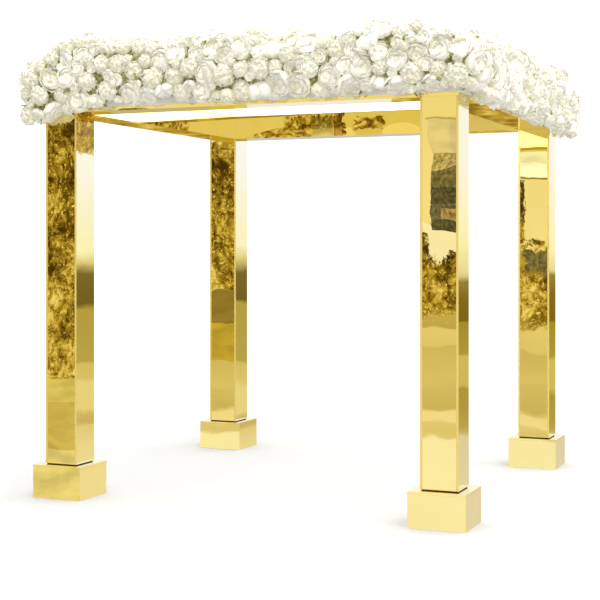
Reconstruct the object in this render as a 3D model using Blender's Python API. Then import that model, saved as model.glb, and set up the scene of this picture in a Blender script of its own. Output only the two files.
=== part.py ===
# Chuppah canopy: a square ceremony frame of gold mirror posts on plinths, a stretched white
# ceiling cloth and a ring of white flowers round the top. Metres, +Z up, ground at z = 0.
# The front faces -Y, and X runs to the viewer's right along the front.
import math

import bmesh
import bpy
from mathutils import Vector

# Driving dimensions
FRAME_OUT = 2.4384
POST_W = 0.2032
PANEL_T = 0.012
BASE_W = 0.308
BASE_H = 0.190
FOOT_H = 0.005
FOOT_INSET = 0.006
UNDERSIDE = 2.210
BEAM_D = 0.160
BOARD_T = 0.012
BOARD_RISE = 0.022
CLOTH_T = 0.0015
CLOTH_INSET = 0.020
GAP = 0.0003

# Garland shape
GARLAND_TOP = 2.622
GARLAND_BOTTOM = 2.246
CORNER_DROP = 0.072
CORNER_REACH = 0.34
OVERHANG = 0.128
INSIDE = 0.262
CORNER_ROUND = 0.20
BUMP = 0.026
BUMP_PITCH = 0.135
STATIONS = 56

HALF = FRAME_OUT / 2
POST_C = HALF - POST_W / 2
BEAM_TOP = UNDERSIDE + BEAM_D
CLOTH_Z = BEAM_TOP + GAP
CLOTH_TOP = CLOTH_Z + CLOTH_T
SIDES_X = {"left": -1, "right": 1}
SIDES_Y = {"front": -1, "back": 1}

for old in list(bpy.data.objects):
    bpy.data.objects.remove(old, do_unlink=True)
parts = bpy.data.collections.new("chuppah_canopy")
bpy.context.scene.collection.children.link(parts)


def material(name, colour, rough, metal):
    mat = bpy.data.materials.new(name)
    mat.use_nodes = True
    shader = mat.node_tree.nodes["Principled BSDF"]
    shader.inputs["Base Color"].default_value = (colour[0], colour[1], colour[2], 1.0)
    shader.inputs["Roughness"].default_value = rough
    shader.inputs["Metallic"].default_value = metal
    mat.diffuse_color = (colour[0], colour[1], colour[2], 1.0)
    return mat


GOLD = material("gold_mirror", (0.83, 0.64, 0.24), 0.06, 1.0)
GOLD_BEAM = material("gold_mirror_beam", (0.80, 0.62, 0.24), 0.06, 1.0)
DARK = material("foot_plate_dark", (0.05, 0.045, 0.035), 0.6, 0.3)
BOARD = material("white_board", (0.80, 0.79, 0.77), 0.7, 0.0)
CLOTH = material("ceiling_cloth", (0.90, 0.90, 0.88), 0.9, 0.0)
FLOWER = material("white_flowers", (0.88, 0.87, 0.80), 0.85, 0.0)


def finish(mesh_data, name, mat):
    """Turn a filled bmesh into a named object in the parts collection."""
    bmesh.ops.recalc_face_normals(mesh_data, faces=mesh_data.faces)
    if mesh_data.calc_volume(signed=True) < 0:
        bmesh.ops.reverse_faces(mesh_data, faces=mesh_data.faces)
    mesh = bpy.data.meshes.new(name)
    mesh_data.to_mesh(mesh)
    mesh_data.free()
    obj = bpy.data.objects.new(name, mesh)
    mesh.materials.append(mat)
    parts.objects.link(obj)
    return obj


def block(name, low, high, mat):
    """A plain box between two corners."""
    mesh_data = bmesh.new()
    bmesh.ops.create_cube(mesh_data, size=1.0)
    for vert in mesh_data.verts:
        for axis in range(3):
            middle = (low[axis] + high[axis]) / 2
            vert.co[axis] = middle + vert.co[axis] * (high[axis] - low[axis])
    return finish(mesh_data, name, mat)


def trough(name, low, high, wall, mat):
    """A box of sheet walls with a floor and no lid: the hollow is open at the top."""
    mesh_data = bmesh.new()
    corners = ((0, 0), (1, 0), (1, 1), (0, 1))
    inner_low = (low[0] + wall, low[1] + wall, low[2] + wall)
    inner_high = (high[0] - wall, high[1] - wall, high[2])

    def ring(lo, hi, z):
        return [mesh_data.verts.new((hi[0] if cx else lo[0], hi[1] if cy else lo[1], z))
                for cx, cy in corners]

    outer_floor = ring(low, high, low[2])
    outer_rim = ring(low, high, high[2])
    inner_rim = ring(inner_low, inner_high, high[2])
    inner_floor = ring(inner_low, inner_high, inner_low[2])
    mesh_data.faces.new(outer_floor)
    mesh_data.faces.new(inner_floor)
    for index in range(4):
        after = (index + 1) % 4
        for lower, upper in ((outer_floor, outer_rim), (outer_rim, inner_rim), (inner_rim, inner_floor)):
            mesh_data.faces.new((lower[index], lower[after], upper[after], upper[index]))
    return finish(mesh_data, name, mat)


# Bases, foot plates and post panels, one set at each corner
for y_name, y_sign in SIDES_Y.items():
    for x_name, x_sign in SIDES_X.items():
        where = y_name + "_" + x_name
        cx = x_sign * POST_C
        cy = y_sign * POST_C
        half_base = BASE_W / 2
        lid_z = BASE_H - PANEL_T
        trough("base_box_" + where, (cx - half_base, cy - half_base, 0.0),
               (cx + half_base, cy + half_base, lid_z - GAP), PANEL_T, GOLD)
        block("base_top_" + where, (cx - half_base, cy - half_base, lid_z),
              (cx + half_base, cy + half_base, BASE_H), GOLD)
        half_foot = POST_W / 2 - FOOT_INSET
        block("post_foot_" + where, (cx - half_foot, cy - half_foot, BASE_H + GAP),
              (cx + half_foot, cy + half_foot, BASE_H + FOOT_H), DARK)
        z_low = BASE_H + FOOT_H + GAP
        z_high = UNDERSIDE - GAP
        half_post = POST_W / 2
        inner = half_post - PANEL_T
        # The left and right panels cover the edges of the front and back ones
        block("post_" + where + "_panel_left", (cx - half_post, cy - half_post, z_low),
              (cx - inner, cy + half_post, z_high), GOLD)
        block("post_" + where + "_panel_right", (cx + inner, cy - half_post, z_low),
              (cx + half_post, cy + half_post, z_high), GOLD)
        block("post_" + where + "_panel_front", (cx - inner + GAP, cy - half_post, z_low),
              (cx + inner - GAP, cy - inner, z_high), GOLD)
        block("post_" + where + "_panel_back", (cx - inner + GAP, cy + inner, z_low),
              (cx + inner - GAP, cy + half_post, z_high), GOLD)

# Beams: the front and back ones run the full width, the side ones fit between them
for name, sign in SIDES_Y.items():
    y_pair = sorted((sign * HALF, sign * (HALF - POST_W)))
    trough("beam_" + name, (-HALF, y_pair[0], UNDERSIDE), (HALF, y_pair[1], BEAM_TOP), PANEL_T, GOLD_BEAM)
for name, sign in SIDES_X.items():
    x_pair = sorted((sign * HALF, sign * (HALF - POST_W)))
    reach = HALF - POST_W - GAP
    trough("beam_" + name, (x_pair[0], -reach, UNDERSIDE), (x_pair[1], reach, BEAM_TOP), PANEL_T, GOLD_BEAM)

# White boards on the outer faces that carry the hanging flowers
board_low = UNDERSIDE + BOARD_RISE
board_out = HALF + GAP + BOARD_T
for name, sign in SIDES_Y.items():
    y_pair = sorted((sign * (HALF + GAP), sign * board_out))
    block("flower_board_" + name, (-board_out, y_pair[0], board_low), (board_out, y_pair[1], BEAM_TOP), BOARD)
for name, sign in SIDES_X.items():
    x_pair = sorted((sign * (HALF + GAP), sign * board_out))
    block("flower_board_" + name, (x_pair[0], -HALF, board_low), (x_pair[1], HALF, BEAM_TOP), BOARD)

# Ceiling cloth, stretched over the tops of the four beams
cloth_half = HALF - CLOTH_INSET
block("ceiling_cloth", (-cloth_half, -cloth_half, CLOTH_Z), (cloth_half, cloth_half, CLOTH_TOP), CLOTH)

# Garland: one mitred length of flowers on each side. Its section is drawn in (u, z), where u
# runs outwards from the frame's outer face. It rests on the cloth and against the board.
FLAT_Z = CLOTH_TOP + GAP
WALL_U = GAP + BOARD_T + GAP
OUTLINE = (
    (0.35, 0.00), (0.72, 0.045), (0.94, 0.11), (1.00, 0.21), (1.00, 0.32), (0.98, 0.43),
    (0.95, 0.54), (0.89, 0.65), (0.78, 0.76), (0.60, 0.86), (0.36, 0.935), (0.08, 0.98),
    (-0.20, 1.00), (-0.52, 0.995), (-0.86, 0.965), (-1.20, 0.91), (-1.52, 0.82), (-1.78, 0.70),
    (-1.94, 0.57), (-2.02, 0.45))
BUMP_ROWS = ((0.115, 2.262), (0.128, 2.395), (0.112, 2.520), (0.020, 2.608), (-0.115, 2.625), (-0.235, 2.560),
             (-0.262, 2.440), (0.060, 2.240))


def corner_weight(s):
    """0 along a side, rising smoothly to 1 at the corner."""
    t = (abs(s) - (HALF - CORNER_REACH)) / CORNER_REACH
    t = max(0.0, min(1.0, t))
    return t * t * (3 - 2 * t)


def bump_height(along, u, z):
    """Round mounds in staggered rows, the same on all four sides and on both halves of each."""
    best = 1e9
    for row, (row_u, row_z) in enumerate(BUMP_ROWS):
        stagger = 0.5 * (row % 2)
        cell = abs(along) / BUMP_PITCH - stagger
        for near in (math.floor(cell), math.floor(cell) + 1):
            jitter = 0.028 * math.sin(2.1 * row + 1.7 * near)
            seed_s = (near + stagger) * BUMP_PITCH + jitter
            seed_z = row_z + 0.012 * math.sin(1.3 * row + 2.9 * near)
            far = math.sqrt((abs(along) - seed_s) ** 2 + (u - row_u) ** 2 + (z - seed_z) ** 2)
            best = min(best, far)
    return BUMP * max(-0.55, 1.0 - (best / 0.062) ** 2)


def section(s):
    """The closed (u, z) outline at a station, with the two resting faces first."""
    weight = corner_weight(s)
    bottom = GARLAND_BOTTOM - CORNER_DROP * weight
    points = [(-INSIDE + 0.004, FLAT_Z), (-0.13, FLAT_Z), (WALL_U, FLAT_Z), (WALL_U, (FLAT_Z + bottom) / 2),
              (WALL_U, bottom + 0.012)]
    raw = []
    for across, up in OUTLINE:
        u = across * OVERHANG
        z = GARLAND_BOTTOM + up * (GARLAND_TOP - GARLAND_BOTTOM)
        hang = max(0.0, 1.0 - up / 0.45)
        raw.append((u, z - CORNER_DROP * weight * hang))
    count = len(raw)
    for index, (u, z) in enumerate(raw):
        before = raw[max(0, index - 1)]
        after = raw[min(count - 1, index + 1)]
        along = Vector((after[0] - before[0], after[1] - before[1])).normalized()
        normal = Vector((along[1], -along[0]))
        rise = bump_height(s * (HALF + u) / HALF, u, z)
        new_u = u + normal[0] * rise
        new_z = z + normal[1] * rise
        if index == count - 1:
            new_z = max(new_z, FLAT_Z + 0.02)
        if new_u > 0:
            new_u = max(new_u, WALL_U + 0.004)
        if new_u < WALL_U:
            new_z = max(new_z, FLAT_Z + 0.02)
        points.append((new_u, new_z))
    return points


def garland(name, turn):
    """A mitred length of garland, built along the front side and turned into place."""
    mesh_data = bmesh.new()
    reach = HALF - GAP
    rows = []
    for station in range(STATIONS + 1):
        s = -reach + 2 * reach * station / STATIONS
        near_end = max(0.0, 1.0 - (HALF - abs(s)) / 0.20)
        row = []
        for u, z in section(s):
            if u > WALL_U:
                u = WALL_U + (u - WALL_U) * (1.0 - CORNER_ROUND * near_end * near_end)
            along = s * (HALF + u) / HALF
            out = HALF + u
            x = along * math.cos(turn) + out * math.sin(turn)
            y = along * math.sin(turn) - out * math.cos(turn)
            row.append(mesh_data.verts.new((x, y, z)))
        rows.append(row)
    count = len(rows[0])
    for first, second in zip(rows, rows[1:]):
        for index in range(count):
            after = (index + 1) % count
            mesh_data.faces.new((first[index], first[after], second[after], second[index]))
    ends = [mesh_data.faces.new(rows[0]), mesh_data.faces.new(rows[-1])]
    bmesh.ops.triangulate(mesh_data, faces=ends)
    return finish(mesh_data, name, FLOWER)


garland("garland_front", 0.0)
garland("garland_right", math.pi / 2)
garland("garland_back", math.pi)
garland("garland_left", -math.pi / 2)
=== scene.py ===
# Chuppah canopy, dressed: gold mirror posts and beams, a stretched ceiling cloth and a ring of
# white flowers. Metres, +Z up. The front faces -Y.
import math

import bmesh
import bpy
import numpy as np
from mathutils import Matrix, Vector


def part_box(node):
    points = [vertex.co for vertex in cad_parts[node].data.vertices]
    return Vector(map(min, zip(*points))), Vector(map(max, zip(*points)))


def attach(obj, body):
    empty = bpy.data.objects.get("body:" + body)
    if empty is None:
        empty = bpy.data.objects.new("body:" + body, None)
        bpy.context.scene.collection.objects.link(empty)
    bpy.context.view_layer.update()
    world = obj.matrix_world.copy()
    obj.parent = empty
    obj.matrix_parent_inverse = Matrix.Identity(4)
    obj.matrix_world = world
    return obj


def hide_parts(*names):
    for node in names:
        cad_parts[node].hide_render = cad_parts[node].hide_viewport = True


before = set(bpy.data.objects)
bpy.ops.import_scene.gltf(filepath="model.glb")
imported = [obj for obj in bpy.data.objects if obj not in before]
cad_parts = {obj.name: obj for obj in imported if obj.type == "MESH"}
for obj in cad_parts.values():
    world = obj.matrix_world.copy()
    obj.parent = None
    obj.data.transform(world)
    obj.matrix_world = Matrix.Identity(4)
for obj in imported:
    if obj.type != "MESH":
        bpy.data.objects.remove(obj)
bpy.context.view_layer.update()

# Sizes read from the frame
BEAM_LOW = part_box("beam_front")[0]
BEAM_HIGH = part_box("beam_front")[1]
HALF = BEAM_HIGH[0]
BEAM_TOP = BEAM_HIGH[2]
POST_W = BEAM_HIGH[1] - BEAM_LOW[1]
CLOTH_LOW, CLOTH_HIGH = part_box("ceiling_cloth")
BOARD_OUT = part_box("flower_board_right")[1][0] - HALF

# Camera, fitted to the posts and bases in the photograph's 600 pixel frame
FRAME_PX = 600
FOCAL_PX = 1429.6
CENTRE_PX = (244.07, 246.76)
CAMERA_AT = (3.1393, -8.3110, 1.4408)
CAMERA_YAW = 0.4133
SENSOR_MM = 36.0


def add_object(name, data):
    item = bpy.data.objects.new(name, data)
    bpy.context.scene.collection.objects.link(item)
    return item


def mesh_object(name, shape, mat):
    """An object of one material from a bmesh, which is freed."""
    mesh = bpy.data.meshes.new(name)
    shape.to_mesh(mesh)
    shape.free()
    mesh.materials.append(mat)
    return add_object(name, mesh)


def add_camera():
    data = bpy.data.cameras.new("camera")
    data.sensor_width = SENSOR_MM
    data.lens = FOCAL_PX / FRAME_PX * SENSOR_MM
    data.shift_x = (FRAME_PX / 2 - CENTRE_PX[0]) / FRAME_PX
    data.shift_y = (CENTRE_PX[1] - FRAME_PX / 2) / FRAME_PX
    data.clip_end = 400.0
    camera = add_object("camera", data)
    camera.location = CAMERA_AT
    camera.rotation_euler = (math.pi / 2, 0.0, CAMERA_YAW)
    bpy.context.scene.camera = camera


# Node helpers


def new_material(name):
    """An empty node material and its Principled shader."""
    mat = bpy.data.materials.new(name)
    mat.use_nodes = True
    shader = mat.node_tree.nodes["Principled BSDF"]
    return mat, mat.node_tree, shader


def set_inputs(tree, node, inputs):
    """Sets each input, by a link from a socket or by a value."""
    for key, value in inputs.items():
        if isinstance(value, bpy.types.NodeSocket):
            tree.links.new(value, node.inputs[key])
        else:
            node.inputs[key].default_value = value


def add_node(tree, kind, inputs=None, **settings):
    """A shader node of the kind, such as Math, with its settings and inputs."""
    node = tree.nodes.new("ShaderNode" + kind)
    for key, value in settings.items():
        setattr(node, key, value)
    set_inputs(tree, node, inputs or {})
    return node


def math_node(tree, operation, first, second=0.0, third=0.0, clamp=False):
    inputs = {0: first, 1: second, 2: third}
    return add_node(tree, "Math", inputs, operation=operation, use_clamp=clamp).outputs[0]


def times(tree, first, second, clamp=False):
    return math_node(tree, "MULTIPLY", first, second, clamp=clamp)


def plus(tree, first, second):
    return math_node(tree, "ADD", first, second)


def minus(tree, first, second):
    return math_node(tree, "SUBTRACT", first, second)


def above(tree, value, level):
    """1 where the value is larger than the level, else 0."""
    return math_node(tree, "GREATER_THAN", value, level)


def either(tree, first, second):
    """The larger of two values."""
    return math_node(tree, "MAXIMUM", first, second)


def between(tree, value, low, high):
    """1 where the value lies between low and high, else 0."""
    return times(tree, above(tree, value, low), math_node(tree, "LESS_THAN", value, high))


def region(tree, across, left, right, up, low, high):
    """1 inside a box of two values, else 0."""
    return times(tree, between(tree, across, left, right), between(tree, up, low, high))


def ramp(tree, value, stops):
    """A colour ramp over 0..1. Each stop is (position, grey or colour)."""
    node = add_node(tree, "ValToRGB", {0: value})
    band = node.color_ramp
    while len(band.elements) > 1:
        band.elements.remove(band.elements[-1])
    for index, (position, colour) in enumerate(stops):
        shade = colour if isinstance(colour, tuple) else (colour, colour, colour)
        element = band.elements[0] if index == 0 else band.elements.new(position)
        element.position = position
        element.color = (*shade, 1.0)
    return node.outputs["Color"]


def object_coords(tree):
    return add_node(tree, "TexCoord").outputs["Object"]


def split(tree, vector):
    """The X, Y and Z of a vector."""
    return add_node(tree, "SeparateXYZ", {0: vector}).outputs


def noise(tree, vector, scale, detail=2.0, rough=0.5, distortion=0.0):
    return add_node(tree, "TexNoise", {
        "Vector": vector, "Scale": scale, "Detail": detail, "Roughness": rough,
        "Distortion": distortion}).outputs[0]


def stretch(tree, vector, scale, location=(0.0, 0.0, 0.0)):
    inputs = {"Vector": vector, "Location": location, "Scale": scale}
    return add_node(tree, "Mapping", inputs).outputs[0]


def bump_normal(tree, height, distance, strength):
    inputs = {"Height": height, "Distance": distance, "Strength": strength}
    return add_node(tree, "Bump", inputs).outputs["Normal"]


def tinted(tree, first, second):
    """One colour times another."""
    return mix_colour(tree, 1.0, first, second, "MULTIPLY")


def opaque(colour):
    """A colour as four values. A socket stays as it is."""
    return colour if isinstance(colour, bpy.types.NodeSocket) else (*colour, 1.0)


def mix_colour(tree, factor, first, second, blend="MIX"):
    inputs = {0: factor, 6: opaque(first), 7: opaque(second)}
    return add_node(tree, "Mix", inputs, data_type="RGBA", blend_type=blend).outputs[2]


# Materials


GOLD = (0.95, 0.81, 0.38)
SLOW_WAVE = 0.00105
FINE_WAVE = 0.00011
# How fast a lean grows with height, per metre
LEAN_GROWTH = 40.0


def gold_mirror(name, wave=1.0, lean=0.0, lean_from=0.0, edges=False, painted_reflections=(),
                grain=(1.0, 1.0, 0.62), tint=(1.0, 1.0, 1.0)):
    """Gold mirror sheet: a near perfect mirror with slow waves and faint smudges in its roughness.

    A lean turns the upright faces' reflections downwards, as a sheet does that bows at its top edge, and
    lean_from is the height where it starts. With edges, the sawn edges that face front and back are paler
    and satin. Each of the painted_reflections is a painted reflection of dark leaves, laid into the colour as
    a ragged clump: axis, from, to, low and high. grain is that painted reflection's scale along X, Y and Z,
    and tint its colour.
    """
    mat, tree, shader = new_material(name)
    coords = object_coords(tree)
    tone = noise(tree, coords, 2.6, 3.0, 0.55)
    shade = ramp(tree, tone, [(0.30, tuple(c * 0.955 for c in GOLD)), (0.70, GOLD)])
    smudge = noise(tree, coords, 11.0, 5.0, 0.6)
    rough = ramp(tree, smudge, [(0.42, 0.003), (0.75, 0.014)])
    slow = noise(tree, coords, 2.3, 1.0, 0.4)
    fine = noise(tree, coords, 7.5, 1.0, 0.4)
    height = plus(tree, times(tree, slow, SLOW_WAVE * wave), times(tree, fine, FINE_WAVE * wave))
    normal = bump_normal(tree, height, 1.0, 1.0)
    if lean:
        grow = times(tree, minus(tree, split(tree, coords)[2], lean_from), LEAN_GROWTH, clamp=True)
        tip = add_node(tree, "CombineXYZ", {2: times(tree, grow, -lean)}).outputs[0]
        turned = add_node(tree, "VectorMath", {0: normal, 1: tip}, operation="ADD").outputs[0]
        normal = add_node(tree, "VectorMath", {0: turned}, operation="NORMALIZE").outputs[0]
    # Painted reflection: dark leaves with gold lights, as the mirror would show them, painted into the colour
    # inside each listed box
    if painted_reflections:
        spot = split(tree, coords)
        leafy = noise(tree, stretch(tree, coords, grain), 26.0, 6.0, 0.66, 1.2)
        ragged = times(tree, minus(tree, leafy, 0.5), 0.16)
        tall = plus(tree, spot[2], times(tree, ragged, 0.8))
        reflected_leaves = tinted(tree, ramp(tree, leafy, [
            (0.36, (0.17, 0.10, 0.008)), (0.47, (0.38, 0.26, 0.03)),
            (0.56, (0.66, 0.52, 0.14)), (0.62, GOLD)]), tint)
        for axis, start, end, low, high in painted_reflections:
            across = plus(tree, spot[axis], ragged)
            inside = region(tree, across, start, end, tall, low, high)
            shade = mix_colour(tree, inside, shade, reflected_leaves)
    if edges:
        outward = split(tree, add_node(tree, "NewGeometry").outputs["Normal"])
        edge = above(tree, math_node(tree, "ABSOLUTE", outward[1]), 0.7)
        shade = mix_colour(tree, edge, shade, (0.84, 0.66, 0.22))
        rough = mix_colour(tree, edge, rough, (0.36, 0.36, 0.36))
    metal = minus(tree, 1.0, times(tree, edge, 0.25)) if edges else 1.0
    set_inputs(tree, shader, {"Base Color": shade, "Roughness": rough, "Metallic": metal, "Normal": normal})
    return mat


def foot_dark():
    # A near black plate under each post, dark enough to stand for the shadow gap where the post meets its
    # base: a plate that is also painted shade
    mat, tree, shader = new_material("foot_dark")
    tone = noise(tree, object_coords(tree), 60.0, 4.0)
    shade = ramp(tree, tone, [(0.3, (0.035, 0.028, 0.016)), (0.7, (0.085, 0.066, 0.032))])
    set_inputs(tree, shader, {"Base Color": shade, "Roughness": 0.55, "Metallic": 0.4})
    return mat


def white_board():
    """Painted board with a faint grain and roller texture."""
    mat, tree, shader = new_material("board_white")
    coords = object_coords(tree)
    tone = noise(tree, coords, 9.0, 5.0, 0.6)
    shade = ramp(tree, tone, [(0.3, (0.74, 0.735, 0.72)), (0.7, (0.86, 0.855, 0.84))])
    roller = bump_normal(tree, noise(tree, coords, 260.0, 3.0, 0.6), 0.0006, 0.5)
    set_inputs(tree, shader, {"Base Color": shade, "Roughness": 0.62, "Normal": roller})
    return mat


# Threads of the cloth, in radians per metre
WEAVE = 2400.0


def ceiling_cloth_material():
    """Matt white cloth: a fine plain weave and slight unevenness of tone."""
    mat, tree, shader = new_material("cloth_white")
    coords = object_coords(tree)
    tone = noise(tree, coords, 3.0, 4.0, 0.6)
    shade = ramp(tree, tone, [(0.3, (0.90, 0.90, 0.885)), (0.7, (0.94, 0.94, 0.93))])
    warp, weft = (math_node(tree, "SINE", times(tree, way, WEAVE)) for way in split(tree, coords)[:2])
    set_inputs(tree, shader, {
        "Base Color": shade, "Roughness": 0.92, "Sheen Weight": 0.25,
        "Normal": bump_normal(tree, times(tree, warp, weft), 0.0003, 0.4)})
    return mat


def petal_material():
    """White petals, cream and pale green in the heart. "heart" and "tint" are stored on the points."""
    mat, tree, shader = new_material("petals")
    heart = add_node(tree, "Attribute", attribute_name="heart").outputs["Fac"]
    tint = add_node(tree, "Attribute", attribute_name="tint").outputs["Fac"]
    edge = mix_colour(tree, tint, (0.790, 0.765, 0.668), (0.785, 0.745, 0.620))
    deep = mix_colour(tree, tint, (0.71, 0.71, 0.46), (0.73, 0.69, 0.42))
    coords = object_coords(tree)
    fleck = noise(tree, coords, 70.0, 3.0, 0.6)
    amount = times(tree, heart, plus(tree, fleck, 0.5), clamp=True)
    veins = noise(tree, coords, 240.0, 2.0, 0.5)
    # The glow stands for the light that thin petals let through
    set_inputs(tree, shader, {
        "Base Color": mix_colour(tree, amount, edge, deep), "Roughness": 0.6, "Sheen Weight": 0.15,
        "Subsurface Weight": 0.55, "Subsurface Radius": (1.0, 0.95, 0.80), "Subsurface Scale": 0.020,
        "Emission Color": (1.0, 0.965, 0.79, 1.0), "Emission Strength": 0.18,
        "Normal": bump_normal(tree, veins, 0.0012, 0.35)})
    return mat


def leaf_material():
    mat, tree, shader = new_material("leaves")
    coords = object_coords(tree)
    tone = noise(tree, coords, 24.0, 3.0, 0.6)
    shade = ramp(tree, tone, [
        (0.25, (0.17, 0.22, 0.045)), (0.5, (0.33, 0.37, 0.09)), (0.8, (0.52, 0.52, 0.18))])
    veins = bump_normal(tree, noise(tree, coords, 180.0, 3.0, 0.6), 0.001, 0.4)
    set_inputs(tree, shader, {"Base Color": shade, "Roughness": 0.5, "Normal": veins})
    return mat


def moss_material():
    """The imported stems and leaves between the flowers, seen only in the gaps."""
    mat, tree, shader = new_material("garland_core")
    coords = object_coords(tree)
    cells = add_node(tree, "TexVoronoi", {"Vector": coords, "Scale": 42.0, "Randomness": 1.0})
    tone = noise(tree, coords, 30.0, 5.0, 0.7)
    mixed = plus(tree, times(tree, cells.outputs["Distance"], 0.7), times(tree, tone, 0.6))
    shade = ramp(tree, mixed, [
        (0.25, (0.07, 0.07, 0.015)), (0.5, (0.23, 0.23, 0.07)), (0.8, (0.50, 0.49, 0.24))])
    stems = bump_normal(tree, mixed, 0.012, 0.8)
    set_inputs(tree, shader, {"Base Color": shade, "Roughness": 0.9, "Normal": stems})
    return mat


# Blossom parts. Each prototype is (points, triangles, heart value per point)


# On a head and a leaf of unit size
PETAL_THICK = 0.035
LEAF_THICK = 0.03


def petal(radius, rim, foot, width, flare, ruffle, phase, columns, rows):
    """A closed cupped petal on a globe about the origin, centred on +X. Angles are in degrees from +Z."""
    grid = np.zeros((rows, columns, 3))
    heart = np.zeros((rows, columns))
    for row in range(rows):
        t = row / (rows - 1)
        for column in range(columns):
            s = -1.0 + 2.0 * column / (columns - 1)
            rounded = 1.0 - math.sqrt(max(0.0, 1.0 - (0.93 * s) ** 2))
            top = rim + rounded * 34.0
            polar = math.radians(foot + (top - foot) * t)
            around = math.radians(s * width / 2 * (0.62 + 0.38 * math.sin(math.pi / 2 * t)))
            wave = math.sin(4.2 * s + phase) + (0.7 * math.sin(9.0 * s + 2.0 * phase) if columns > 5 else 0.0)
            reach = radius * (1.0 + flare * t ** 2 + ruffle * t * t * wave - 0.095 * s * s)
            grid[row, column] = (reach * math.sin(polar) * math.cos(around),
                                 reach * math.sin(polar) * math.sin(around), reach * math.cos(polar))
            heart[row, column] = 1.0 - t
    return thin_shell(grid, heart, PETAL_THICK)


def thin_shell(grid, heart, thick):
    """A closed skin from a grid of points: the front, and a back that meets it along the rim."""
    rows, columns = heart.shape
    du = np.gradient(grid, axis=1)
    dv = np.gradient(grid, axis=0)
    outward = np.cross(du, dv)
    outward /= np.maximum(np.linalg.norm(outward, axis=2, keepdims=True), 1e-9)
    verts = list(map(tuple, grid.reshape(-1, 3)))
    hearts = list(heart.ravel())
    inner = {}
    for row in range(rows):
        for column in range(columns):
            if row in (0, rows - 1) or column in (0, columns - 1):
                inner[(row, column)] = row * columns + column
            else:
                inner[(row, column)] = len(verts)
                verts.append(tuple(grid[row, column] - outward[row, column] * thick))
                hearts.append(heart[row, column])
    tris = []
    for row in range(rows - 1):
        for column in range(columns - 1):
            a = (row, column)
            b = (row, column + 1)
            c = (row + 1, column + 1)
            d = (row + 1, column)
            slant = (column < (columns - 1) / 2) == (row < (rows - 1) / 2)
            for tri in (((a, b, c), (a, c, d)) if slant else ((a, b, d), (b, c, d))):
                tris.append(tuple(r * columns + k for r, k in tri))
                tris.append(tuple(inner[key] for key in reversed(tri)))
    return np.array(verts), np.array(tris), np.array(hearts)


def rotation(axis, angle):
    return np.array(Matrix.Rotation(angle, 3, axis))


def place(shape, matrix, offset=(0.0, 0.0, 0.0)):
    points, tris, hearts = shape
    return points @ matrix.T + offset, tris, hearts


def gather(shapes):
    """Joins shapes into one."""
    points, tris, hearts = zip(*shapes)
    starts = np.cumsum([0] + [len(part) for part in points[:-1]])
    shifted = [part + start for part, start in zip(tris, starts)]
    return np.vstack(points), np.vstack(shifted), np.concatenate(hearts)


def ball(radius, squash, heart):
    """A small closed ball, the inside of a head."""
    mesh = bmesh.new()
    bmesh.ops.create_uvsphere(mesh, u_segments=10, v_segments=7, radius=radius)
    bmesh.ops.triangulate(mesh, faces=mesh.faces)
    mesh.verts.ensure_lookup_table()
    points = np.array([v.co[:] for v in mesh.verts]) * np.array((1.0, 1.0, squash))
    tris = np.array([[v.index for v in f.verts] for f in mesh.faces])
    mesh.free()
    return points, tris, np.full(len(points), heart)


# One row per ring of a rose: radius, petals, rim angle, foot angle, petal width, flare, heart strength
CLOSED_RINGS = (
    (1.00, 5, 70, 142, 94, 0.13, 0.06),
    (0.965, 5, 54, 112, 96, 0.11, 0.25),
    (0.93, 4, 40, 94, 112, 0.10, 0.35),
    (0.895, 3, 27, 78, 134, 0.09, 0.45),
    (0.86, 3, 14, 60, 150, 0.05, 0.60))
OPEN_RINGS = (
    (1.00, 6, 64, 140, 84, 0.17, 0.06),
    (0.92, 5, 52, 108, 94, 0.12, 0.28),
    (0.84, 5, 43, 98, 92, 0.09, 0.36),
    (0.75, 4, 36, 92, 108, 0.06, 0.45),
    (0.64, 3, 29, 88, 132, 0.03, 0.55),
    (0.50, 3, 20, 84, 138, 0.00, 0.70))
BUD_RINGS = (
    (1.00, 4, 52, 142, 112, 0.06, 0.04),
    (0.95, 3, 33, 100, 138, 0.07, 0.16),
    (0.90, 3, 15, 76, 146, 0.04, 0.45))


def rose(rng, rings, openness, ruffle, inside):
    """A round rose of unit radius looking along +Z. Its packed inside has a radius, a squash and a rise."""
    core, squash, rise = inside
    points, tris, _ = ball(core, squash, 0.0)
    hearts = np.clip(points[:, 2] / core * 1.2, 0.0, 0.60)
    shapes = [(points + (0.0, 0.0, rise), tris, hearts)]
    for radius, count, rim, foot, width, flare, strength in rings:
        spin = rng.uniform(0, math.tau)
        for index in range(count):
            angle = spin + math.tau * (index + rng.uniform(-0.12, 0.12)) / count
            size = radius * (1.0 + (0.018 if index % 2 else -0.015) + rng.uniform(-0.028, 0.022))
            outer = radius == 1.0
            points, tris, hearts = petal(
                size, rim * openness + rng.uniform(-9, 9), foot, width * rng.uniform(0.90, 1.10),
                flare * openness, ruffle, rng.uniform(0, math.tau),
                7 if outer else 5, 4 if outer else 3)
            swirl = rotation("Z", angle) @ rotation("X", rng.uniform(0.00, 0.26))
            shapes.append(place((points, tris, hearts * strength), swirl))
    points, tris, hearts = gather(shapes)
    return points * np.array((1.0, 1.0, 0.90)), tris, hearts


def floret(rng, size):
    """A small flower of four rounded lobes, closed, looking along +Z."""
    steps = 4 * 3
    points = []
    hearts = []
    for index in range(steps):
        angle = math.tau * index / steps
        notch = index % 3 == 0
        reach = size * (0.66 if notch else 1.0) * rng.uniform(0.92, 1.06)
        lift = size * (0.02 if notch else 0.16) * rng.uniform(0.5, 1.2)
        points.append((reach * math.cos(angle), reach * math.sin(angle), lift))
        hearts.append(0.20 if notch else 0.0)
    points += [(0.0, 0.0, -0.06 * size), (0.0, 0.0, -0.26 * size)]
    hearts += [0.7, 0.7]
    tris = []
    for index in range(steps):
        after = (index + 1) % steps
        tris.append((index, after, steps))
        tris.append((after, index, steps + 1))
    return np.array(points), np.array(tris), np.array(hearts)


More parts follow.
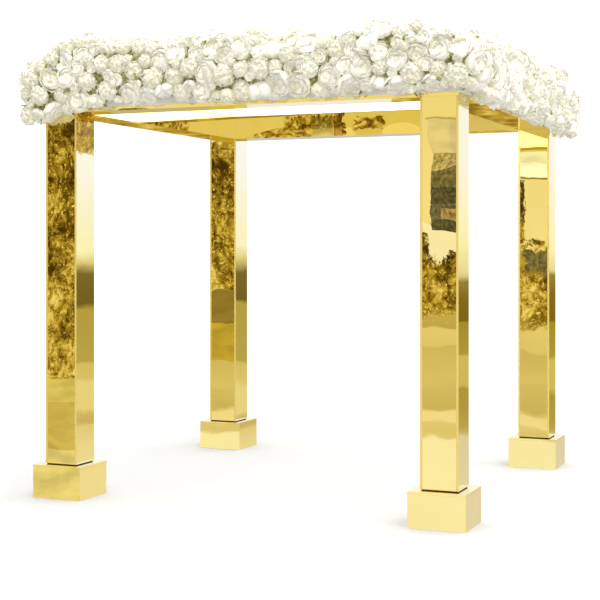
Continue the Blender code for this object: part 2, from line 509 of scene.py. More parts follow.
def facing(direction, spin):
    """A rotation that takes +Z to the direction, after a spin about it."""
    quat = Vector((0.0, 0.0, 1.0)).rotation_difference(Vector(direction))
    return np.array(quat.to_matrix()) @ rotation("Z", spin)


# Radians from one floret to the next, so that they spread evenly
GOLDEN_ANGLE = 2.39996


def cluster(rng, count):
    """A hydrangea-like head of unit radius: florets over the front of a ball."""
    shapes = [ball(0.80, 0.88, 0.45)]
    width = 1.62 / math.sqrt(count)
    for index in range(count):
        z = 1.0 - 1.15 * (index + 0.5) / count
        around = index * GOLDEN_ANGLE + rng.uniform(-0.25, 0.25)
        flat = math.sqrt(max(0.0, 1.0 - z * z))
        direction = np.array((flat * math.cos(around), flat * math.sin(around), z))
        tilt = direction + rng.normal(0, 0.13, 3)
        tilt /= np.linalg.norm(tilt)
        centre = direction * np.array((0.84, 0.84, 0.74)) * rng.uniform(0.94, 1.08)
        flower = floret(rng, width * rng.uniform(0.90, 1.12))
        shapes.append(place(flower, facing(tilt, rng.uniform(0, math.tau)), centre))
    return gather(shapes)


def leaf(rng):
    """A pointed leaf of unit length, closed, growing along +Z."""
    rows = 5
    columns = 3
    grid = np.zeros((rows, columns, 3))
    bend = rng.uniform(-0.35, 0.35)
    for row in range(rows):
        t = row / (rows - 1)
        half = 0.24 * math.sin(math.pi * (0.06 + 0.90 * t)) ** 0.8
        for column in range(columns):
            s = column - 1
            grid[row, column] = (s * half, 0.10 * abs(s) + bend * t * t, t)
    return thin_shell(grid, np.zeros((rows, columns)), LEAF_THICK)


# Garland surface. A section runs in (u, z): u is the distance out from the frame's outer face

OUTLINE = (
    (0.036, 2.24), (0.078, 2.232), (0.108, 2.258), (0.121, 2.31), (0.124, 2.37), (0.121, 2.425),
    (0.113, 2.475), (0.099, 2.518), (0.077, 2.554), (0.046, 2.582), (0.01, 2.6), (-0.03, 2.608),
    (-0.072, 2.608), (-0.114, 2.6), (-0.155, 2.583), (-0.192, 2.556), (-0.22, 2.52), (-0.236, 2.482),
    (-0.242, 2.445))
# How far each change at a corner reaches along the side
CORNER_REACH = 0.34
SLOPE_REACH = 0.30
SWELL_REACH = 0.25
HUMP_REACH = 0.26
HUMP_AT = 0.20
# Flowers hang from the foot of the section, less and less over the fade. The crown's start and fade
FOOT = 2.24
HANG_FADE = 0.18
CROWN = 2.40
CROWN_FADE = 0.16
LUMP = 0.014
# Side by side: how far the bottom row hangs below the section (front, right, back, left)
SIDE_HANG = (-0.006, 0.020, -0.034, -0.038)
# Corner by corner, from front left: how far the crown rounds off and rises just beyond, the flowers hang,
# and they swell out
CORNER_SLOPE = (0.050, 0.070, 0.070, 0.070)
CORNER_HUMP = (0.046, 0.0, 0.0, 0.0)
CORNER_HANG = (0.070, -0.012, 0.052, -0.034)
CORNER_SWELL = (0.0, 0.0, 0.034, 0.010)
# Heads, the largest first: their size, how closely they pack, and the darts thrown for each
HEAD_SIZES = (0.064, 0.055, 0.046, 0.037, 0.029)
SPACING = 0.745
TRIES = ((5000, 8000, 12000, 16000, 9000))
MOST_HEADS = 6000
# The front left corner is packed more loosely
LOOSE = 1.12
LOOSE_REACH = 0.22
# Heads keep above this height over the beams, and this far off the board lower down
CLOTH_CLEAR = 2.378
BOARD_CLEAR = 0.014
# Shares of the larger heads that are closed roses, and roses of either kind
CLOSED_SHARE = 0.42
ROSE_SHARE = 0.68
# Share of the heads that may have a leaf, and the height that every leaf starts below
LEAF_SHARE = 0.40
LEAF_TOP = 2.54


def outline_table():
    """Position and outward normal along the section, at even steps of its length."""
    points = np.array(OUTLINE)
    steps = np.linalg.norm(np.diff(points, axis=0), axis=1)
    arc = np.concatenate(([0.0], np.cumsum(steps)))
    fine = np.linspace(0.0, arc[-1], 400)
    u = np.interp(fine, arc, points[:, 0])
    z = np.interp(fine, arc, points[:, 1])
    kernel = np.ones(21) / 21
    du = np.gradient(np.convolve(np.pad(u, 10, "edge"), kernel, "valid"))
    dz = np.gradient(np.convolve(np.pad(z, 10, "edge"), kernel, "valid"))
    length = np.hypot(du, dz)
    return u, z, dz / length, -du / length


def plan_point(u, way):
    """A point on the plan path at offset u, for way 0..1 round the ring.

    Gives position, normal, distance to the nearest corner, that corner, and the side.
    """
    side = int(way * 4) % 4
    part = way * 4 - int(way * 4)
    reach = HALF + min(u, 0.0)
    bend = max(u, 0.0)
    length = 2 * reach + math.pi / 2 * bend
    along = part * length
    corner = (side + 1) % 4 if along > reach else side
    if along < 2 * reach:
        x = -reach + along
        local = np.array((x, -HALF - u))
        normal = np.array((0.0, -1.0))
        to_corner = reach - abs(x)
    else:
        angle = (along - 2 * reach) / max(bend, 1e-6)
        normal = np.array((math.sin(angle), -math.cos(angle)))
        local = np.array((HALF, -HALF)) + normal * bend
        to_corner = 0.0
    if u > 0:
        local = local + normal * CORNER_SWELL[corner] * smooth_step(1.0 - to_corner / SWELL_REACH)
    turn = side * math.pi / 2
    c = math.cos(turn)
    s = math.sin(turn)
    matrix = np.array(((c, -s), (s, c)))
    return matrix @ local, matrix @ normal, to_corner, corner, side


def smooth_step(value):
    value = min(1.0, max(0.0, value))
    return value * value * (3 - 2 * value)


def drop_at(to_corner, corner, side, z):
    """How far a point of the section sinks: flowers hang low down, and the crown rounds off at corners."""
    low = smooth_step(1.0 - (z - FOOT) / HANG_FADE)
    near = smooth_step(1.0 - to_corner / CORNER_REACH)
    hang = (CORNER_HANG[corner] * near + SIDE_HANG[side] * (1.0 - near)) * low
    hump = CORNER_HUMP[corner] * smooth_step(1.0 - abs(to_corner - HUMP_AT) / HUMP_REACH)
    crown = CORNER_SLOPE[corner] * smooth_step(1.0 - to_corner / SLOPE_REACH) - hump
    crown *= smooth_step((z - CROWN) / CROWN_FADE)
    return hang + crown


def lump_at(x, y, z):
    """Slow unevenness of the whole arrangement, in metres along the surface normal."""
    wave = math.sin(5.1 * x + 2.3 * math.sin(3.1 * y)) + math.sin(6.7 * y + 1.7 * math.sin(4.3 * x) + 9.0 * z)
    return LUMP * 0.5 * wave


def scatter(rng):
    """Dart throwing over the ring: big heads first, then smaller ones in what is left."""
    us, zs, nus, nzs = outline_table()
    placed = []
    centres = np.zeros((MOST_HEADS, 3))
    radii = np.zeros(MOST_HEADS)
    count = 0
    for radius, attempts in zip(HEAD_SIZES, TRIES):
        for _ in range(attempts):
            index = int(rng.uniform(0, 1) * (len(us) - 1))
            size = radius * rng.uniform(0.90, 1.12)
            deep = (0.50 - rng.uniform(-0.26, 0.22)) * size
            nu = nus[index]
            nz = nzs[index]
            # Clear of the board and beams: outside the board low down, above the cloth over the beams
            u = us[index] - nu * deep
            z = zs[index] - nz * deep
            if us[index] > 0.03 and z < 2.42:
                u = max(u, BOARD_CLEAR + 0.80 * size)
            plan, normal, to_corner, corner, side = plan_point(u, rng.uniform(0, 1))
            swell = lump_at(plan[0], plan[1], z)
            plan = plan + normal * nu * swell
            z = z + nz * swell - drop_at(to_corner, corner, side, zs[index])
            if u < 0.05:
                z = max(z, CLOTH_CLEAR + 0.92 * size)
            direction = np.array((normal[0] * nu, normal[1] * nu, nz))
            point = np.array((plan[0], plan[1], z))
            apart = centres[:count] - point
            loose = LOOSE if corner == 0 and to_corner < LOOSE_REACH else 1.0
            limit = SPACING * loose * (size + radii[:count])
            if count and (np.einsum("ij,ij->i", apart, apart) < limit * limit).any():
                continue
            centres[count] = point
            radii[count] = size
            count += 1
            placed.append((point, direction, size, side))
    return placed


class Bunch:
    """Collects placed prototypes and turns them into one mesh piece."""

    def __init__(self):
        self.shapes = []
        self.tints = []

    def add(self, shape, matrix, offset, tint):
        self.shapes.append(place(shape, matrix, offset))
        self.tints.append(np.full(len(shape[0]), tint))

    def build(self, name, mat, slot, node):
        points, tris, hearts = gather(self.shapes)
        mesh = bpy.data.meshes.new(name)
        mesh.vertices.add(len(points))
        mesh.vertices.foreach_set("co", points.ravel().astype(np.float32))
        mesh.loops.add(tris.size)
        mesh.loops.foreach_set("vertex_index", tris.ravel().astype(np.int32))
        mesh.polygons.add(len(tris))
        mesh.polygons.foreach_set("loop_start", np.arange(0, tris.size, 3, dtype=np.int32))
        mesh.polygons.foreach_set("use_smooth", np.ones(len(tris), dtype=bool))
        mesh.update(calc_edges=True)
        mesh.validate()
        for label, values in (("heart", hearts), ("tint", np.concatenate(self.tints))):
            layer = mesh.attributes.new(label, "FLOAT", "POINT")
            layer.data.foreach_set("value", values.astype(np.float32))
        mesh.materials.append(mat)
        piece = add_object(name, mesh)
        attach(piece, "root")
        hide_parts(node)
        print(name, len(tris), "triangles")


SIDE_NAMES = ("front", "right", "back", "left")


def add_flowers():
    rng = np.random.default_rng(613)
    snug = (0.84, 1.00, -0.02)
    bowl = (0.86, 0.56, -0.13)
    closed = [rose(rng, CLOSED_RINGS, openness, ruffle, snug) for openness, ruffle in (
        (0.90, 0.03), (0.97, 0.05), (1.03, 0.04), (1.10, 0.06), (1.18, 0.05))]
    opened = [rose(rng, OPEN_RINGS, openness, ruffle, bowl) for openness, ruffle in (
        (0.94, 0.05), (1.04, 0.07), (1.14, 0.06))]
    buds = [rose(rng, BUD_RINGS, openness, 0.02, snug) for openness in (0.80, 1.00, 1.20)]
    heads = [cluster(rng, count) for count in (22, 26, 30, 24)]
    small_heads = [cluster(rng, 12) for _ in range(2)]
    leaves = [leaf(rng) for _ in range(5)]
    placed = scatter(rng)
    print(len(placed), "blossoms")
    petals = petal_material()
    green = leaf_material()
    bunches = [Bunch() for _ in range(8)]
    leaf_bunches = [Bunch() for _ in range(4)]
    for point, direction, size, side in placed:
        tilted = direction + rng.normal(0, 0.36, 3)
        tilted /= np.linalg.norm(tilted)
        pick = rng.uniform()
        if size < 0.040:
            shape = buds[int(rng.integers(0, 3))] if pick < 0.62 else small_heads[int(rng.integers(0, 2))]
        elif pick < CLOSED_SHARE:
            shape = closed[int(rng.integers(0, 5))]
        elif pick < ROSE_SHARE:
            shape = opened[int(rng.integers(0, 3))]
        else:
            shape = heads[int(rng.integers(0, 4))]
        matrix = facing(tilted, rng.uniform(0, math.tau)) * size
        along = point[0] if side in (0, 2) else point[1]
        half = 0 if along * (1 if side in (0, 1) else -1) < 0 else 1
        bunches[side * 2 + half].add(shape, matrix, point, rng.uniform(0, 1) ** 1.5)
        over_beams = max(abs(point[0]), abs(point[1])) < HALF
        if rng.uniform() < LEAF_SHARE and not (over_beams and point[2] < 2.50):
            side_way = facing(direction, rng.uniform(0, math.tau))
            lean = side_way @ np.array((math.sin(0.9), 0.0, math.cos(0.9)))
            leaf_matrix = facing(lean, rng.uniform(0, math.tau)) * rng.uniform(0.035, 0.052)
            root = point + side_way @ np.array((0.72, 0, -0.10)) * size
            chosen = leaves[int(rng.integers(0, 5))]
            if root[2] < LEAF_TOP:
                leaf_bunches[side].add(chosen, leaf_matrix, root, 0.0)
    for side, name in enumerate(SIDE_NAMES):
        node = "garland_" + name
        for half, word in enumerate(("near", "far")):
            bunches[side * 2 + half].build("flowers_" + name + "_" + word, petals, "flowers", node)
        leaf_bunches[side].build("leaves_" + name, green, "flowers", node)


def add_core():
    """The stems and foam behind the flowers, one closed mitred length on each side."""
    mat = moss_material()
    gap = 0.0006
    flat = CLOTH_HIGH[2] + gap
    wall = BOARD_OUT + gap
    reach = HALF - gap
    inset = 0.046
    foot = 2.262
    stations = 48
    us, zs, nus, nzs = outline_table()
    picks = np.linspace(0, len(us) - 1, 18).astype(int)
    for side, name in enumerate(SIDE_NAMES):
        shape = bmesh.new()
        rows = []
        turn = side * math.pi / 2
        for station in range(stations + 1):
            s = -reach + 2 * reach * station / stations
            to_corner = HALF - abs(s)
            corner = (side + 1) % 4 if s > 0 else side
            low = foot - drop_at(to_corner, corner, side, foot) * 0.8
            section = [(-0.200, flat), (-0.10, flat), (wall, flat), (wall, (flat + low) / 2), (wall, low)]
            for index in picks:
                u = us[index] - nus[index] * inset
                z = zs[index] - nzs[index] * inset - drop_at(to_corner, corner, side, zs[index]) * 0.9
                outside = us[index] > 0 and zs[index] < 2.5
                if outside and (u > 0 or z < flat + 0.02):
                    u = max(u, wall + 0.006)
                if u < wall + 0.002:
                    z = max(z, flat + 0.012)
                section.append((u, z))
            row = []
            for u, z in section:
                rounding = 0.22 * max(0.0, 1.0 - to_corner / 0.2) ** 2 if u > 0 else 0.0
                out = HALF + u * (1.0 - rounding)
                along = s * out / HALF
                x = along * math.cos(turn) + out * math.sin(turn)
                y = along * math.sin(turn) - out * math.cos(turn)
                row.append(shape.verts.new((x, y, z)))
            rows.append(row)
        count = len(rows[0])
        for first, second in zip(rows, rows[1:]):
            for index in range(count):
                after = (index + 1) % count
                shape.faces.new((first[index], first[after], second[after], second[index]))
        ends = [shape.faces.new(rows[0]), shape.faces.new(rows[-1])]
        bmesh.ops.triangulate(shape, faces=ends)
        bmesh.ops.recalc_face_normals(shape, faces=shape.faces)
        if shape.calc_volume(signed=True) < 0:
            bmesh.ops.reverse_faces(shape, faces=shape.faces)
        piece = mesh_object("garland_core_" + name, shape, mat)
        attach(piece, "root")
        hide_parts("garland_" + name)


def add_ceiling():
    """The stretched cloth: flat over the beams, a shallow sag and faint tension folds between them."""
    count = 72
    sag = 0.010
    free = HALF - POST_W
    grid = np.linspace(CLOTH_LOW[0], CLOTH_HIGH[0], count)
    shape = bmesh.new()
    verts = []
    for y in grid:
        row = []
        for x in grid:
            inside = min(free - abs(x), free - abs(y))
            z = BEAM_TOP + 0.0008
            if inside > 0:
                bowl = (1 - (x / free) ** 2) * (1 - (y / free) ** 2)
                ease = min(1.0, inside / 0.25)
                folds = 0.0016 * math.sin(21.0 * (x - y)) * math.exp(-((abs(x) - abs(y)) / 0.25) ** 2)
                folds += 0.0009 * math.sin(9.0 * x + 4.0 * math.sin(2.3 * y))
                z -= sag * bowl + folds * ease * ease * 0.6
            row.append(shape.verts.new((x, y, z)))
        verts.append(row)
    for first, second in zip(verts, verts[1:]):
        for index in range(count - 1):
            shape.faces.new((first[index], first[index + 1], second[index + 1], second[index]))
    for face in shape.faces:
        face.smooth = True
    piece = mesh_object("ceiling_sheet", shape, ceiling_cloth_material())
    skin = piece.modifiers.new("thickness", "SOLIDIFY")
    skin.thickness = 0.0006
    skin.offset = 0.0
    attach(piece, "root")
    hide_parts("ceiling_cloth")


def dress_frame():
    """Materials and slightly eased edges for the CAD nodes that stay."""
    # The longer names come first, because a node takes the first one that its own name starts with
    finishes = {
        "post_foot": foot_dark(),
        "flower_board": white_board(),
        "base": gold_mirror("base_gold", 0.5),
        "post": gold_mirror("post_gold"),
        # The back beam's colour holds a painted reflection of dark leaves, from x -0.64 to -0.215 and z 2.262
        # to 2.352
        "beam_back": gold_mirror("beam_back_gold_painted_reflection", 0.25, 0.088, painted_reflections=((0, -0.64, -0.215, 2.262, 2.352),)),
        "beam_left": gold_mirror("beam_left_gold", 0.4, -0.010),
        "beam": gold_mirror("beam_gold"),
    }
    post_side = gold_mirror("post_side_gold", edges=True)
    # The front left post's right panel: a bowed top, and a painted reflection of leaves in its colour from
    # 1.985 m up
    bowed_post_painted_reflection = gold_mirror(
        "post_bowed_gold_painted_reflection", 1.0, 0.070, 1.980, True,
        ((1, -1.4, -0.8, 1.985, 2.4),), (1.0, 0.42, 0.85), (0.88, 0.70, 0.26))
    for name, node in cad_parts.items():
        finish = next((mat for prefix, mat in finishes.items() if name.startswith(prefix)), None)
        if finish is None:
            continue
        if name == "post_front_left_panel_right":
            finish = bowed_post_painted_reflection
        elif name.endswith(("panel_left", "panel_right")):
            finish = post_side
        node.data.materials.clear()
        node.data.materials.append(finish)
        bevel = node.modifiers.new("eased_edges", "BEVEL")
        bevel.width = 0.0010
        bevel.segments = 1
        bevel.limit_method = "ANGLE"


# Studio


def add_floor():
    mat, tree, shader = new_material("floor")
    coords = object_coords(tree)
    tone = noise(tree, coords, 0.8, 2.0)
    # A slightly greyer patch under the left of the canopy, darkest at its middle: a painted shadow where the
    # canopy's soft shadow falls, which also lets the lamps' own soft shadow read
    spot = stretch(tree, coords, (1.0, 1.0, 1.0), (0.5, -0.1, 0.0))
    away = add_node(tree, "VectorMath", {0: spot}, operation="LENGTH").outputs["Value"]
    spread = math_node(tree, "DIVIDE", away, 4.0, clamp=True)
    floor_tone_painted_shadow = ramp(tree, spread, [
        (0.20, (0.508, 0.514, 0.530)), (0.50, (0.530, 0.536, 0.552)), (0.80, (0.562, 0.568, 0.584))])
    shade = tinted(tree, floor_tone_painted_shadow, ramp(tree, tone, [(0.3, 0.985), (0.7, 1.0)]))
    set_inputs(tree, shader, {"Base Color": shade, "Roughness": 0.9, "Specular IOR Level": 0.2})
    disc = bmesh.new()
    bmesh.ops.create_circle(disc, cap_ends=True, segments=128, radius=4.9)
    floor = mesh_object("floor", disc, mat)
    floor.location = (0, 0, -0.0005)
    floor.visible_glossy = False


# In one radian
DEGREES = 57.2958

# Bands of the room's walls, by elevation in degrees: pale floor, tan skirting, a lit wall above
FRONT_BANDS = (
    (-12.0, (1.06, 1.10, 1.28)), (-7.45, (1.06, 1.10, 1.28)), (-7.4, (0.80, 0.74, 0.52)),
    (-7.0, (0.84, 0.80, 0.60)), (-6.95, (1.00, 0.97, 0.88)), (-6.5, (0.98, 0.93, 0.80)),
    (-6.45, (0.66, 0.60, 0.34)), (-5.6, (0.74, 0.68, 0.42)), (-5.5, (0.78, 0.72, 0.46)),
    (-4.2, (0.70, 0.63, 0.36)), (-4.1, (0.82, 0.76, 0.50)), (-3.2, (0.86, 0.80, 0.54)),
    (-3.1, (0.58, 0.50, 0.22)), (-0.4, (0.80, 0.74, 0.48)), (-0.3, (1.02, 0.98, 0.82)),
    (3.6, (1.00, 0.94, 0.74)), (6.0, (0.96, 0.90, 0.66)), (12.0, (1.15, 1.12, 1.02)))
SIDE_BANDS = (
    (-12.0, (0.86, 0.84, 0.96)), (-7.3, (0.80, 0.78, 0.86)), (-7.2, (0.56, 0.47, 0.20)),
    (-6.6, (0.50, 0.40, 0.12)), (-5.7, (0.46, 0.38, 0.11)), (-5.6, (0.68, 0.60, 0.24)),
    (-4.3, (0.68, 0.61, 0.25)), (-4.2, (0.46, 0.39, 0.10)), (-3.0, (0.40, 0.33, 0.06)),
    (-2.9, (0.23, 0.16, 0.02)), (-1.9, (0.25, 0.18, 0.03)), (-1.3, (0.34, 0.28, 0.10)),
    (-1.1, (0.86, 0.86, 0.74)), (0.0, (1.05, 1.12, 1.08)), (3.6, (1.06, 1.18, 1.95)))
FAR_SIDE_BANDS = (
    (-12.0, (0.94, 0.93, 0.95)), (-8.0, (0.94, 0.92, 0.90)), (-7.2, (0.82, 0.78, 0.66)),
    (-7.1, (0.66, 0.58, 0.40)), (-6.7, (0.70, 0.62, 0.44)), (-6.6, (0.88, 0.84, 0.66)),
    (-5.4, (0.88, 0.85, 0.68)), (-5.3, (0.76, 0.70, 0.44)), (-4.7, (0.74, 0.68, 0.40)),
    (-4.6, (0.53, 0.48, 0.22)), (-2.5, (0.50, 0.44, 0.17)), (-2.4, (0.19, 0.15, 0.05)),
    (-1.0, (0.22, 0.18, 0.07)), (-0.6, (0.80, 0.76, 0.60)), (0.0, (1.06, 1.19, 1.62)),
    (3.6, (1.07, 1.24, 2.75)))
BEHIND_BANDS = (
    (-12.0, (0.97, 1.02, 1.30)), (-6.6, (0.95, 1.00, 1.25)), (-6.5, (0.94, 0.98, 1.25)),
    (-5.3, (0.94, 0.96, 1.20)), (-5.2, (0.58, 0.62, 0.72)), (-3.4, (0.62, 0.66, 0.80)),
    (-3.3, (0.94, 0.96, 1.15)), (12.0, (1.2, 1.2, 1.5)))

# Boxes of the room, each with left, right, low and high in degrees, and its colour
DOORWAY = (
    (-106.40, -103.9, 5.12, 5.20, (0.55, 0.50, 0.34)), (-106.25, -105.5, 3.71, 5.12, (0.80, 0.77, 0.68)),
    (-105.50, -103.9, 3.71, 5.12, (0.75, 0.72, 0.70)), (-106.17, -105.5, 2.98, 3.71, (0.56, 0.51, 0.32)),
    (-105.50, -103.9, 2.98, 3.71, (0.42, 0.40, 0.34)), (-106.15, -103.9, 2.28, 2.98, (0.20, 0.185, 0.125)),
    (-106.15, -103.9, 1.52, 2.28, (0.11, 0.11, 0.08)), (-106.12, -103.9, 1.40, 1.52, (0.17, 0.165, 0.15)),
    (-106.10, -103.9, 0.99, 1.40, (0.18, 0.17, 0.16)), (-106.08, -103.9, 0.60, 0.99, (0.105, 0.10, 0.08)),
    (-105.70, -103.9, 0.99, 1.36, (0.42, 0.34, 0.22)))
UNDER_MIDDLE = (
    (-117.5, -108.6, -3.1, -1.7, (0.30, 0.24, 0.07)), (-117.5, -113.9, -4.6, -3.1, (0.58, 0.47, 0.10)))
BRIGHT_WALL = (
    (-103.9, -101.0, 2.69, 3.31, (1.20, 1.38, 1.90)), (-103.9, -101.0, 3.31, 4.26, (1.10, 1.18, 1.35)),
    (-103.9, -101.0, 2.61, 2.69, (0.36, 0.30, 0.09)))
UNDER_LEFT = (
    (-138.0, -117.5, -6.3, -5.2, (0.78, 0.72, 0.37)), (-138.0, -117.5, -7.9, -6.3, (0.65, 0.57, 0.27)),
    (-138.0, -117.5, -12.0, -7.9, (0.84, 0.82, 0.60)))


class Room:
    """The room that only the mirrors show, painted in layers by azimuth and elevation in degrees."""

    def __init__(self, tree):
        self.tree = tree
        way = split(tree, add_node(tree, "TexCoord").outputs["Generated"])
        self.azimuth = times(tree, math_node(tree, "ARCTAN2", way[1], way[0]), DEGREES)
        self.elevation = times(tree, math_node(tree, "ARCSINE", way[2]), DEGREES)
        self.flat = add_node(tree, "CombineXYZ", {0: self.azimuth, 1: self.elevation}).outputs[0]
        # Edges wander slowly along the walls
        wander = self.swing(self.pattern((0.22, 0.5), 3.0), 1.5)
        self.tall = plus(tree, self.elevation, wander)
        self.across = plus(tree, self.azimuth, times(tree, wander, 0.5))
        self.leafy = self.pattern((4.6, 2.9), 8.0, 0.74, 0.35)
        self.planting = self.planting_look()
        self.colour = self.bands(FRONT_BANDS)

    def pattern(self, scale, detail, rough=0.5, distortion=0.0, shift=(0.0, 0.0)):
        """Noise over the azimuth and elevation."""
        spread = stretch(self.tree, self.flat, (*scale, 1.0), (*shift, 0.0))
        return noise(self.tree, spread, 1.0, detail, rough, distortion)

    def swing(self, value, size):
        """A noise value turned into an offset that is as often up as down."""
        return times(self.tree, minus(self.tree, value, 0.5), size)

    def bands(self, stops):
        low = -12.0
        spread = 24.0
        unit = math_node(self.tree, "DIVIDE", minus(self.tree, self.tall, low), spread, clamp=True)
        return ramp(self.tree, unit, [((angle - low) / spread, colour) for angle, colour in stops])

    def paint(self, mask, look):
        self.colour = mix_colour(self.tree, mask, self.colour, look)

    def paint_boxes(self, across, up, boxes):
        for left, right, low, high, look in boxes:
            self.paint(region(self.tree, across, left, right, up, low, high), look)

    def planting_look(self):
        """Dark leaves with bright flecks, lighter low down and in some stretches."""
        tree = self.tree
        shady = self.pattern((0.9, 0.55), 2.0, shift=(1.7, 0.3))
        depth = plus(tree, self.leafy, self.swing(shady, 0.45))
        depth = plus(tree, depth, times(tree, self.tall, -0.014))
        for left, right, lift in ((-138.0, -117.5, 0.013), (-117.5, -108.6, 0.044), (-104.0, -99.0, 0.012)):
            depth = plus(tree, depth, times(tree, between(tree, self.azimuth, left, right), lift))
        leaves = ramp(tree, depth, [
            (0.38, (0.055, 0.034, 0.004)), (0.46, (0.15, 0.098, 0.011)), (0.52, (0.30, 0.210, 0.026)),
            (0.58, (0.50, 0.375, 0.07)), (0.64, (0.76, 0.64, 0.24)), (0.70, (1.00, 0.92, 0.55))])
        flecks = ramp(tree, self.pattern((11.0, 9.0), 3.0, 0.6), [(0.585, 0.0), (0.63, 1.0)])
        lit_leaf = times(tree, flecks, above(tree, depth, 0.47))
        return mix_colour(tree, lit_leaf, leaves, (0.98, 0.86, 0.42))

    def paint_planting(self):
        """Planting in clumps round the room, and always where the front posts show it."""
        tree = self.tree
        clump = above(tree, self.pattern((0.06, 0.10), 2.0, shift=(3.3, 0.4)), 0.53)
        front = self.colour
        self.paint(times(tree, clump, between(tree, self.tall, -5.4, 5.2)), self.planting)
        self.paint(between(tree, self.azimuth, -150.0, -70.0), front)
        self.paint_boxes(self.across, self.tall, (
            (-106.9, -103.9, -0.8, 0.70, (1.06, 1.10, 1.36)),
            (-138.0, -117.5, -5.4, 5.4, self.planting), (-117.5, -108.6, -1.7, 4.4, self.planting)))
        self.paint_boxes(self.across, plus(tree, self.tall, self.swing(self.leafy, 3.4)), (
            (-108.6, -104.0, -2.55, -0.50, self.planting), (-104.0, -99.0, -2.95, 0.30, self.planting)))

    def paint_doorway(self):
        """A doorway with shelves and the walls beside and below it, as the front right post shows them."""
        tree = self.tree
        grit = ramp(tree, self.pattern((0.9, 1.9), 3.0), [(0.34, 0.84), (0.50, 1.0), (0.66, 1.14)])
        for left, right, low, high, colour in DOORWAY + UNDER_MIDDLE + BRIGHT_WALL + UNDER_LEFT:
            box = (left, right, low, high, tinted(tree, colour, grit))
            self.paint_boxes(self.across, self.elevation, (box,))
        # Small things on the shelves
        things = self.pattern((6.5, 5.5), 4.0, 0.72)
        clutter = ramp(tree, things, [(0.36, 0.45), (0.50, 1.0), (0.64, 1.65)])
        shelves = (-106.15, -103.9, 0.6, 3.71, tinted(tree, self.colour, clutter))
        self.paint_boxes(self.across, self.elevation, (shelves,))
        # Ragged clumps at the posts' edges, and a dark gap in the planting
        frayed = self.swing(self.leafy, 1.5)
        frayed_across = plus(tree, self.azimuth, times(tree, frayed, 0.5))
        hollow = tinted(tree, (0.20, 0.19, 0.125), clutter)
        self.paint_boxes(frayed_across, plus(tree, self.elevation, frayed), (
            (-103.6, -102.42, 0.15, 2.50, self.planting), (-102.52, -101.0, -0.92, -0.12, hollow),
            (-106.9, -106.20, -1.0, 0.45, self.planting), (-105.5, -104.9, -1.0, -0.10, self.planting)))

    def paint_beam_view(self):
        """Pale rounded shapes and foliage, as the back beam shows them."""
        tree = self.tree
        small = self.pattern((2.3, 3.2), 5.0, 0.64, 0.9, (0.7, 0.2))
        plain_gold = mix_colour(tree, small, (0.76, 0.64, 0.22), (0.88, 0.77, 0.34))
        self.paint_boxes(self.azimuth, self.elevation, ((-113.9, -106.7, -6.5, -3.1, plain_gold),))
        pale = mix_colour(tree, small, (0.96, 0.82, 0.40), (1.02, 0.94, 0.60))
        for middle, wide, level, high in (
                (-112.56, 0.80, -5.43, 0.36), (-109.5, 0.30, -5.07, 0.36), (-107.4, 0.78, -5.07, 0.42)):
            aside = math_node(tree, "DIVIDE", minus(tree, self.azimuth, middle), wide)
            rise = math_node(tree, "DIVIDE", minus(tree, self.elevation, level), high)
            reach = plus(tree, times(tree, aside, aside), times(tree, rise, rise))
            self.paint(math_node(tree, "LESS_THAN", reach, 1.0), pale)
        foliage = ramp(tree, small, [
            (0.38, (0.14, 0.075, 0.006)), (0.47, (0.34, 0.22, 0.03)),
            (0.54, (0.60, 0.45, 0.12)), (0.62, (0.95, 0.80, 0.38))])
        rough_edge = self.swing(small, 0.8)
        self.paint_boxes(plus(tree, self.azimuth, rough_edge), plus(tree, self.elevation, rough_edge), (
            (-113.3, -109.7, -5.09, -4.55, foliage), (-109.3, -108.1, -4.90, -4.42, foliage)))

    def paint_sides(self):
        """The rest of the room: soft light over bands at the sides, and a grey floor behind the canopy."""
        tree = self.tree
        # What the left beam and the front left post show by way of the back beam
        self.paint_boxes(self.azimuth, self.elevation, ((-68.0, -56.0, -8.0, 5.2, (0.90, 0.93, 0.88)),))
        sides = mix_colour(
            tree, between(tree, self.azimuth, 42.0, 69.0), self.bands(SIDE_BANDS), self.bands(FAR_SIDE_BANDS))
        right_zone = between(tree, self.azimuth, 42.0, 96.0)
        left_zone = above(tree, math_node(tree, "ABSOLUTE", self.azimuth), 160.0)
        self.paint(either(tree, right_zone, left_zone), sides)
        self.paint(between(tree, self.azimuth, 96.0, 135.0), self.bands(BEHIND_BANDS))
        # Brown grained stretches, and an olive one
        brown = ramp(tree, self.pattern((0.7, 3.0), 4.0, 0.6), [
            (0.38, (0.30, 0.19, 0.02)), (0.50, (0.52, 0.36, 0.06)), (0.62, (0.86, 0.66, 0.20))])
        self.paint_boxes(self.azimuth, self.tall, ((96.0, 104.9, -6.9, -4.2, brown),))
        self.paint_boxes(self.azimuth, self.elevation, (
            (114.6, 121.5, -5.35, -4.2, brown), (106.4, 107.8, -6.8, -5.6, brown),
            (114.2, 121.5, -6.6, -5.35, (0.56, 0.52, 0.34))))


def room_colour(tree):
    room = Room(tree)
    room.paint_planting()
    room.paint_doorway()
    room.paint_beam_view()
    room.paint_sides()
    return tinted(tree, room.colour, (0.979, 0.932, 0.724))


# Just above the beams' underside
UPLIGHT_AT = 2.212


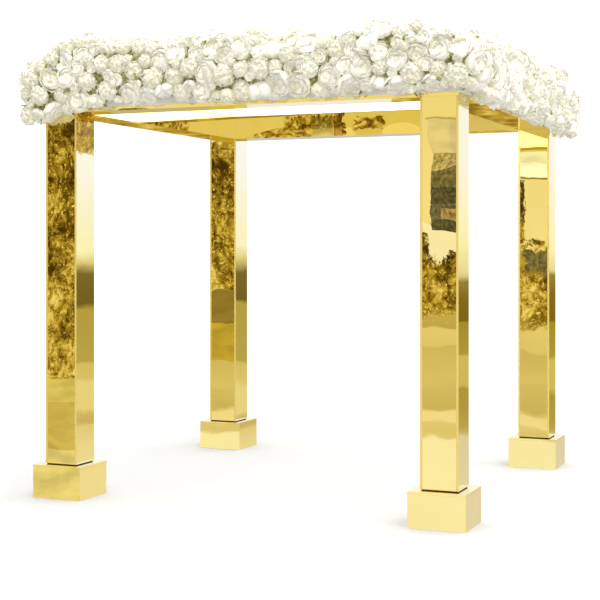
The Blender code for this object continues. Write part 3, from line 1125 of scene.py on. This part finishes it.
def add_lamp(name, size, energy, location, turn):
    """A square lamp that the mirrors don't show."""
    data = bpy.data.lights.new(name, "AREA")
    data.shape = "SQUARE"
    data.size = size
    data.energy = energy
    lamp = add_object(name, data)
    lamp.location = location
    lamp.rotation_euler = turn
    lamp.visible_glossy = False
    return lamp


def add_studio():
    """A pale floor, a white surround, and a plain room that only mirrors show."""
    add_floor()
    world = bpy.data.worlds.new("studio")
    bpy.context.scene.world = world
    world.use_nodes = True
    tree = world.node_tree
    tree.nodes.clear()
    room = room_colour(tree)
    way = split(tree, add_node(tree, "TexCoord").outputs["Generated"])
    rise = math_node(tree, "MULTIPLY_ADD", way[2], 0.5, 0.5)
    glow = ramp(tree, rise, [(0.0, 0.15), (0.44, 0.19), (0.52, 0.31), (0.62, 0.44), (0.82, 0.92), (1.0, 1.0)])
    sided = math_node(tree, "MULTIPLY_ADD", way[0], 0.30, 1.0)
    paths = add_node(tree, "LightPath")
    soft = add_node(tree, "Background", {
        "Color": tinted(tree, glow, (1.0, 0.995, 0.98)), "Strength": times(tree, sided, 2.55)})
    plain = add_node(tree, "Background", {"Color": (1, 1, 1, 1), "Strength": 1.20})
    mirrored = add_node(tree, "Background", {"Color": room, "Strength": 1.0})
    lit = add_node(tree, "MixShader", {
        0: paths.outputs["Is Camera Ray"], 1: soft.outputs[0], 2: plain.outputs[0]})
    both = add_node(tree, "MixShader", {
        0: paths.outputs["Is Glossy Ray"], 1: lit.outputs[0], 2: mirrored.outputs[0]})
    add_node(tree, "OutputWorld", {"Surface": both.outputs[0]})
    key_at = Vector((5.0, -4.5, 7.0))
    add_lamp("key", 4.0, 70.0, key_at, (Vector((0, 0, 2.2)) - key_at).to_track_quat("-Z", "Y").to_euler())
    # Light that comes up from the floor onto the cloth
    uplight = add_lamp("uplight", 2.0, 35.0, (0.0, 0.0, UPLIGHT_AT), (math.pi, 0.0, 0.0))
    uplight.visible_camera = False
    view = bpy.context.scene.view_settings
    view.view_transform = "Standard"
    view.look = "None"


add_camera()
add_studio()
dress_frame()
add_ceiling()
add_core()
add_flowers()
